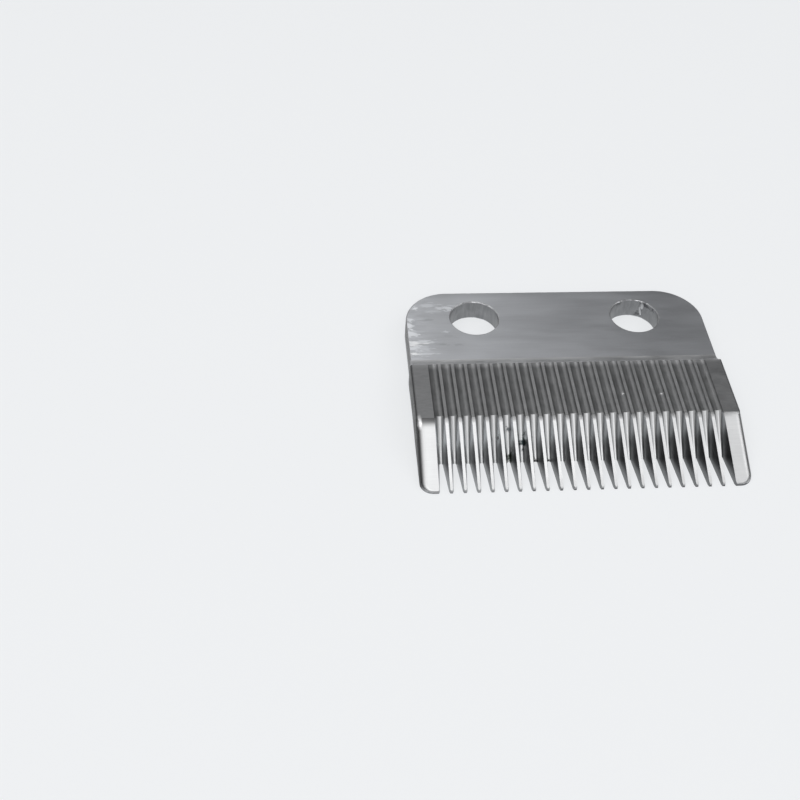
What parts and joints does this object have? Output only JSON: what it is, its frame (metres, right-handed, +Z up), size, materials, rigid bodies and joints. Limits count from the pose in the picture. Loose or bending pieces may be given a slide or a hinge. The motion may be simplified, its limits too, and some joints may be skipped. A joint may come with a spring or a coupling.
{
  "type": "hair clipper blade",
  "caption": "Flat ground steel comb blade for a hair clipper: row of tapered cutting teeth in front, raised grooved land, rear plate with screw holes for fixing to the clipper head.",
  "frame": {"origin": "middle of the flat inner face, half way from the tooth tips to the rear edge", "axes": "+X across the blade, tooth tips towards -Y, +Z up out of the outer face"},
  "size_m": [0.0456, 0.0374, 0.0041],
  "materials": {
    "steel": "ground carbon steel: satin brushed plate, dull grooved land, bright bevel"
  },
  "bodies": {
    "root": {"fixed_blade": "steel"}
  },
  "joints": []
}
